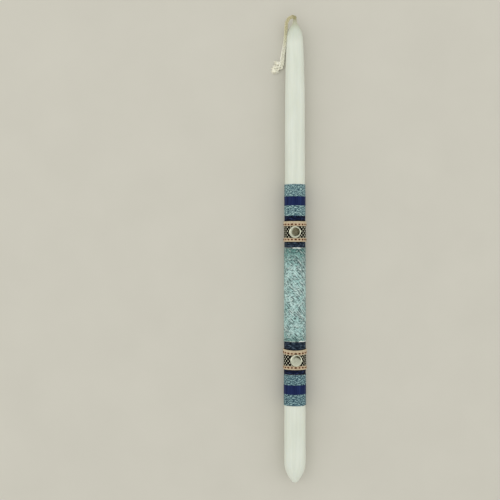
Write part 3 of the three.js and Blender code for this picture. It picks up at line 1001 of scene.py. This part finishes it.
# The trim's edges press the navy ribbon down, and mark where painted shade goes
def tuckedUnder(end, look):
    low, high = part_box(end + "_woven_ribbon")
    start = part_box(end + "_navy_ribbon")[0].y + look["lowEdge"]

    def relief(u, v, angle, width):
        highEdge = high.y - trimSag[end] * np.clip(np.cos(angle), 0, 1) ** 1.5
        beyond = np.minimum(np.abs(start + v - low.y), np.abs(start + v - highEdge))
        tuckAndShade = np.exp(-(beyond / tuckLook["halfWidth"]) ** 2)
        return tuckAndShade * tuckLook["depth"], {"tuckAndShade": tuckAndShade}

    return relief


# The cap's rim presses a shallow ring into the check, and marks where painted shade goes
def pressedRound(end, look):
    low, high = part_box(end + "_stud_cap")
    heart = (low + high) / 2
    radius = ringRadius(end + "_woven_ribbon")
    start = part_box(end + "_woven_ribbon")[0].y + look["lowEdge"]

    def relief(u, v, angle, width):
        beyond = np.hypot(radius * np.sin(angle) - heart.x, start + v - heart.y) - (high.x - low.x) / 2
        pressAndShade = np.exp(-(np.maximum(beyond, 0) / pressLook["width"]) ** 2) * (np.cos(angle) > 0)
        return pressAndShade * pressLook["depth"], {"pressAndShade": pressAndShade * pressLook["shade"]}

    return relief


for end in ("lower", "upper"):
    linen, linenCut = windCloth(end + "LinenRibbon", end + "_linen_ribbon", handLaid[end + "Linen"])
    finishPiece(linen, chambray[end], "linen", end + "_linen_ribbon")

    satin, _ = windCloth(end + "SatinRibbon", end + "_satin_ribbon", satinCloth)
    finishPiece(satin, navySatin, "navy_satin", end + "_satin_ribbon")

    look = handLaid[end + "Navy"]
    navy, navyCut = windCloth(end + "NavyRibbon", end + "_navy_ribbon", look, tuckedUnder(end, look))
    finishPiece(navy, navyCloth, "navy_cloth", end + "_navy_ribbon")

    look = handLaid[end + "Woven"]
    woven, _ = windCloth(end + "WovenRibbon", end + "_woven_ribbon", look, pressedRound(end, look))
    finishPiece(woven, checkWeave, "checked_weave", end + "_woven_ribbon")
print("ribbons wound")


# Middle wrap: crinkled, with shut pleats on the slant and frayed ends

gauzeCloth = {"thickness": 0.00020, "around": 228, "rows": 200, "seam": overSeam, "lap": math.radians(22.5),
              "wobble": 0.0006, "swell": 0.00012, "seed": 9.0, "lowEdge": -0.0003, "highEdge": 0.0003,
              "proud": 0.0003}

creases = {
    "seed": 5, "depth": 0.00018, "halfWidth": 0.00038, "fading": 0.0003, "turned": 8,
    # how dark the painted shade in each crease is, and how bright the painted highlight beside it
    "foldShade": 0.95, "ridgeHighlight": 0.55,
    # slant in degrees, how many, shortest and longest in m, and from where to where round in degrees
    "groups": [(-47, 40, 0.0050, 0.0095, 12, 85), (-46, 66, 0.0024, 0.0056, -180, 180),
               (38, 40, 0.0014, 0.0030, -180, 180), (4, 210, 0.0011, 0.0026, -180, 180)],
}


def crinkle(u, v, angle, width):
    chance = random.Random(creases["seed"])
    depth = np.zeros_like(u)
    ridgeAndHighlight = np.zeros_like(u)
    perDegree = (u.max() - u.min()) / math.degrees(angle.max() - angle.min())
    for slantMiddle, count, short, long, fromDegrees, toDegrees in creases["groups"]:
        for _ in range(count):
            place = (chance.uniform(fromDegrees, toDegrees) - math.degrees(angle.min())) % 360
            middle = place * perDegree, chance.uniform(0.001, width - 0.001)
            slant = math.radians(slantMiddle + chance.uniform(-creases["turned"], creases["turned"]))
            half = chance.uniform(short, long) / 2
            strength = chance.uniform(0.55, 1.0)
            along = (u - middle[0]) * math.cos(slant) + (v - middle[1]) * math.sin(slant)
            aside = (v - middle[1]) * math.cos(slant) - (u - middle[0]) * math.sin(slant)
            ends = 1 / (1 + np.exp((np.abs(along) - half) / creases["fading"]))
            depth = np.maximum(depth, strength * ends * np.exp(-(aside / creases["halfWidth"]) ** 2))
            beside = (aside - 2.0 * creases["halfWidth"]) / creases["halfWidth"]
            ridgeAndHighlight = np.maximum(ridgeAndHighlight, strength * ends * np.exp(-beside ** 2))
    # marks for painted shade in the creases and a painted highlight on their ridges
    marks = {"paintedFoldShade": depth * creases["foldShade"], "ridgeAndHighlight": ridgeAndHighlight * creases["ridgeHighlight"]}
    return (depth - 0.4 * ridgeAndHighlight) * creases["depth"], marks


wrap, wrapCut = windCloth("middleWrap", "middle_wrap", gauzeCloth, crinkle)
finishPiece(wrap, gauze, "crinkled_gauze", "middle_wrap")


fray = {
    "loose": {"count": 46, "radius": 0.00010, "reach": (-0.0002, 0.0005), "sweep": (0.0001, 0.0012)},
    "wisps": {"count": 9, "radius": 0.00022, "reach": (-0.0001, 0.0002), "sweep": (0.0020, 0.0042)},
    "lift": 0.0003, "above": 0.0001, "sink": 0.0002,
    "rooted": 0.0004,  # how far inside the edge an end starts
    # end of the wrap, which way is out, and where round the candle its wisps lie, in degrees
    "ends": [("low", -1, 22, 62), ("high", 1, -9, 24)],
}


def frayWrapEnds(name, look, material, seed, allRound):
    chance = random.Random(seed)
    low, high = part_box("middle_wrap")
    radius = ringRadius("middle_wrap") + gauzeCloth["proud"] - gauzeCloth["thickness"]
    runs = []
    for which, outward, wispFrom, wispTo in fray["ends"]:
        edge = low.y + gauzeCloth["lowEdge"] if which == "low" else high.y + gauzeCloth["highEdge"]
        for k in range(look["count"]):
            if allRound:
                angle = chance.uniform(0, 2 * math.pi)
            else:
                angle = math.radians(wispFrom + (wispTo - wispFrom) * (k + 0.5) / look["count"])
            reach = chance.uniform(*look["reach"])
            sweep = chance.uniform(*look["sweep"]) * chance.choice((-1, 1))
            lifted = chance.uniform(0.0, fray["lift"])
            run = []
            for step in range(4):
                share = step / 3
                turned = angle + sweep * (share - 0.5) / radius
                out = radius + fray["above"] + lifted * math.sin(math.pi * share) - fray["sink"] * share
                past = reach * math.sin(share * math.pi * 0.6) - fray["rooted"] * (1 - share)
                along = edge + outward * past
                run.append(Vector((out * math.sin(turned), along, axisHeight + out * math.cos(turned))))
            runs.append(run)
    piece = layFibres(name, runs, look["radius"])
    finishPiece(piece, material, "crinkled_gauze")
    return piece


looseEnds = frayWrapEnds("wrapThreadEnds", fray["loose"], gauzeFray, 21, True)
wisps = frayWrapEnds("wrapWisps", fray["wisps"], gauzeWisp, 22, False)
print("middle wrap crinkled and frayed")


# Leather strips with their stitching

stripLook = {
    "columns": 14, "rowsDeep": 2, "stitches": 19, "perStitch": 14, "slit": 0.0005,
    "inset": 0.0015,      # stitch line from the inner edge
    "thickness": 0.00053,
    "dip": 0.00026, "dipHalf": 0.00062, "stitchHalf": 0.0009,
    "round": 0.0004, "rounded": 0.00018, "pores": 0.00005, "sway": 0.00012,
    "sags": {"lower_trim_wick_side_leather": trimSag["lower"]},
    "inner": {1: -0.0006, -1: -0.0003},  # inner edge past the CAD one, on the butt and wick side strips
}
stitchLook = {
    "length": 0.0022, "width": 0.00155, "height": 0.00048, "sunk": 0.0002,
    "lean": (-0.28, 0.1), "size": (0.85, 1.12), "segments": 12, "rings": 8, "seed": 7,
}


# Where a strip starts and ends along the candle, and its line of stitches
def stripEnds(node, inner):
    low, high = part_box(node)
    shift = stripLook["inner"][inner]
    if inner > 0:
        return low.y, high.y + shift, high.y + shift - stripLook["inset"]
    return low.y + shift, high.y, low.y + shift + stripLook["inset"]


def cutLeather(name, node, inner):
    lowY, highY, stitchY = stripEnds(node, inner)
    radius = ringRadius(node)
    deselectAll()
    slit = stripLook["slit"] / radius
    bpy.ops.mesh.primitive_grid_add(
        x_subdivisions=stripLook["rowsDeep"], y_subdivisions=stripLook["columns"], size=1,
        location=(0, (lowY + highY) / 2, axisHeight + radius - stripLook["thickness"] / 2),
        rotation=(0, math.radians(90), 0))
    piece = nameActive(name)
    piece.scale = (stripLook["thickness"], highY - lowY, 1)
    applyPlace()
    bpy.ops.object.mode_set(mode="EDIT")
    bpy.ops.mesh.select_all(action="SELECT")
    middle = (0, (lowY + highY) / 2, axisHeight)
    bpy.ops.transform.rotate(
        value=-(overSeam + slit / 2), orient_axis="Y", center_override=middle)
    bpy.ops.mesh.spin(
        steps=stripLook["stitches"] * stripLook["perStitch"], angle=2 * math.pi - slit,
        center=middle, axis=(0, 1, 0))
    bpy.ops.mesh.select_all(action="SELECT")
    bpy.ops.mesh.normals_make_consistent(inside=False)
    bpy.ops.object.mode_set(mode="OBJECT")
    shapeLeather(piece, lowY, highY, stitchY, radius, stripLook["sags"].get(node, 0))
    smoothActive(55)
    return piece


def stitchAngle(k):
    return overSeam + (k + 0.5) * 2 * math.pi / stripLook["stitches"]


def sagAt(place, amount):
    out = Vector((place.x, place.z - axisHeight))
    return amount * max(0.0, out.y / max(out.length, 1e-6)) ** 1.5


def shapeLeather(piece, lowY, highY, stitchY, radius, sag):
    spacing = 2 * math.pi / stripLook["stitches"]
    pull = piece.data.attributes.new("pull", "FLOAT", "POINT")
    for vertex in piece.data.vertices:
        place = vertex.co
        out = Vector((place.x, 0, place.z - axisHeight))
        reach = out.length
        out.normalize()
        angle = math.atan2(out.x, out.z)
        phase = (angle - overSeam) / spacing - 0.5
        fromStitch = abs(phase - round(phase)) * spacing * radius
        fromLine = abs(place.y - stitchY)
        top = max(0.0, (reach - radius + stripLook["thickness"]) / stripLook["thickness"])
        dip = math.exp(-(fromLine / stripLook["dipHalf"]) ** 2)
        along = math.exp(-(fromStitch / stripLook["stitchHalf"]) ** 4)
        edge = min(place.y - lowY, highY - place.y)
        corner = max(0.0, 1 - edge / stripLook["round"])
        drop = stripLook["dip"] * dip * (0.45 + 0.55 * along) + stripLook["rounded"] * corner * corner
        drop += stripLook["pores"] * (0.5 + 0.5 * noise.noise(place * 400))
        vertex.co -= out * drop * top
        if edge < 0.00001:
            sway = stripLook["sway"] * (0.5 + 0.5 * noise.noise(Vector((angle * 4, lowY * 900, 2))))
            vertex.co.y += sway if place.y - lowY < highY - place.y else -sway
        pull.data[vertex.index].value = min(1.0, dip * (0.35 + 0.65 * along)) * top
        vertex.co.y -= sagAt(vertex.co, sag)


def sewStitches(name, leatherNode, inner):
    _, _, stitchY = stripEnds(leatherNode, inner)
    deselectAll()
    bpy.ops.mesh.primitive_uv_sphere_add(
        segments=stitchLook["segments"], ring_count=stitchLook["rings"], radius=0.5,
        location=(0, stitchY, axisHeight + ringRadius(leatherNode) - stitchLook["sunk"]))
    piece = nameActive(name)
    piece.scale = (stitchLook["length"], stitchLook["width"], stitchLook["height"])
    applyPlace()
    count = len(piece.data.vertices)
    bpy.ops.object.mode_set(mode="EDIT")
    bpy.ops.mesh.select_all(action="SELECT")
    middle = (0, stitchY, axisHeight)
    bpy.ops.transform.rotate(value=-stitchAngle(0), orient_axis="Y", center_override=middle)
    stitches = stripLook["stitches"]
    bpy.ops.mesh.spin(steps=stitches - 1, angle=2 * math.pi * (stitches - 1) / stitches, dupli=True,
                      center=middle, axis=(0, 1, 0))
    bpy.ops.object.mode_set(mode="OBJECT")
    chance = random.Random(stitchLook["seed"] + int(abs(stitchY) * 10000))
    for first in range(0, len(piece.data.vertices), count):
        group = [piece.data.vertices[k] for k in range(first, first + count)]
        heart = sum((vertex.co for vertex in group), Vector()) / count
        out = Vector((heart.x, 0, heart.z - axisHeight)).normalized()
        lean = Matrix.Rotation(chance.uniform(*stitchLook["lean"]), 3, out)
        size = chance.uniform(*stitchLook["size"])
        sag = Vector((0, -sagAt(heart, stripLook["sags"].get(leatherNode, 0)), 0))
        for vertex in group:
            vertex.co = heart + lean @ (vertex.co - heart) * size + sag
    smoothActive(80)
    return piece


for end in ("lower", "upper"):
    for side, inner in (("butt", 1), ("wick", -1)):
        node = "%s_trim_%s_side_leather" % (end, side)
        strip = cutLeather("%sTrim%sLeather" % (end, side.title()), node, inner)
        finishPiece(strip, tanLeather, "tan_leather", node)
        stitchNode = "%s_trim_%s_side_stitching" % (end, side)
        stitches = sewStitches("%sTrim%sStitches" % (end, side.title()), node, inner)
        finishPiece(stitches, waxedThread, "stitch_thread", stitchNode)
print("leather cut and stitched")


# Studs: pressed caps, nearly flat on top with a rounded shoulder and a rim

studLook = {
    "wall": 0.00035, "skirt": 0.0006, "squareness": 6.0, "rolled": 0.00018, "sides": 96, "domeRings": 26,
}


# Height over a radius on the cap's squared dome, both as shares
def domeRise(share):
    power = studLook["squareness"]
    return (1 - share ** power) ** (1 / power)


def pressCap(name, node):
    low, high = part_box(node)
    foot = Vector(((low.x + high.x) / 2, (low.y + high.y) / 2, low.z))
    radius = (high.x - low.x) / 2
    height = high.z - low.z
    dome = height - studLook["skirt"]
    profile = [(0.0002, height)]
    rings = studLook["domeRings"]
    for k in range(1, rings + 1):
        reach = math.sin(math.pi / 2 * k / rings)
        profile.append((radius * reach, studLook["skirt"] + dome * domeRise(reach)))
    rolled = studLook["rolled"]
    profile += [(radius, rolled), (radius - 0.3 * rolled, 0.3 * rolled), (radius - rolled, 0)]
    inside = radius - studLook["wall"]
    profile += [(inside, rolled), (inside, studLook["skirt"])]
    for k in range(rings - 1, 0, -2):
        reach = math.sin(math.pi / 2 * k / rings)
        profile.append((inside * reach, studLook["skirt"] + (dome - studLook["wall"]) * domeRise(reach)))
    profile.append((0.0002, height - studLook["wall"]))
    return turnPiece(name, profile, studLook["sides"], foot, up)


for end in ("lower", "upper"):
    cap = pressCap(end + "StudCap", end + "_stud_cap")
    finishPiece(cap, nickel, "nickel", end + "_stud_cap")
    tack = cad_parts[end + "_stud_tack"]
    tack.data.materials.clear()
    tack.data.materials.append(nickel)
print("studs pressed")


# Table, lights and surroundings

def setTable():
    deselectAll()
    bpy.ops.mesh.primitive_plane_add(size=6, location=(0, 0, 0))
    table = nameActive("paleTable")
    table.data.materials.append(makeBoard("paleBoard", ("#CBC8BF", "#CECBC2")))


lamps = [
    {"name": "leftBox", "place": (-1.1, 0.2, 0.9), "size": (0.8, 1.8), "power": 3.2, "tint": "#FFFDF6"},
    {"name": "rightBox", "place": (1.2, 0.1, 0.8), "size": (0.8, 1.8), "power": 2.4, "tint": "#FFFDF6"},
    {"name": "frontBox", "place": (0.0, -1.2, 0.9), "size": (1.6, 0.7), "power": 1.2, "tint": "#FBFFF6"},
    {"name": "backBox", "place": (0.0, 1.3, 0.9), "size": (1.6, 0.7), "power": 2.2, "tint": "#FBFFF6"},
]


def hangLamps():
    for lamp in lamps:
        place = Vector(lamp["place"])
        aim = (Vector((0, 0, 0)) - place).to_track_quat("-Z", "Y").to_euler()
        bpy.ops.object.light_add(type="AREA", location=place, rotation=aim)
        light = bpy.context.object
        light.name = lamp["name"]
        light.data.shape = "RECTANGLE"
        light.data.size, light.data.size_y = lamp["size"]
        light.data.energy = lamp["power"]
        light.data.color = colour(lamp["tint"])[:3]


def paintSurroundings():
    world = bpy.data.worlds.new("softRoom")
    bpy.context.scene.world = world
    world.use_nodes = True
    background = world.node_tree.nodes["Background"]
    background.inputs["Color"].default_value = colour("#FDFDF8")
    background.inputs["Strength"].default_value = 0.80


# A card above the camera, seen only in the studs, where a room's dark ceiling would show
ceilingCard = {
    "place": (0.400, 0.094, 1.9), "size": (0.79, 0.712),
    "near": "#62674E", "far": "#968B77", "farFrom": 0.6,  # towards the butt and towards the wick
    "right": "#8F8C86", "rightFrom": 0.35,  # what its right side does to both
}


def hangCard(look):
    deselectAll()
    bpy.ops.mesh.primitive_plane_add(size=1, location=look["place"])
    card = nameActive("ceilingCard")
    card.scale = (*look["size"], 1)
    applyPlace()
    material, shader = newMaterial("paintedCard", {"Roughness": 0.9})
    shares = []
    reach = look["rightFrom"], look["farFrom"]
    for axis, place, size, full in zip("XY", look["place"], look["size"], reach):
        start = place - size / 2
        shares.append(addNode(material, "MapRange", {
            "Value": objectPart(material, axis), "From Min": start, "From Max": start + size * full}))
    side = addNode(material, "ValToRGB", {"Fac": shares[0]}, stops=[(0.0, "#FFFFFF"), (1.0, look["right"])])
    tone = addNode(material, "ValToRGB", {"Fac": shares[1]}, stops=[(0.1, look["near"]), (0.8, look["far"])])
    both = addNode(material, "Mix", {0: 1, 6: tone, 7: side}, blend_type="MULTIPLY", **colourMix)
    card.data.materials.append(paint(material, shader, both))
    card.visible_camera = card.visible_diffuse = card.visible_shadow = False


setTable()
hangLamps()
paintSurroundings()
hangCard(ceilingCard)
bpy.context.scene.view_settings.view_transform = "Standard"
print("table, lights and surroundings set")
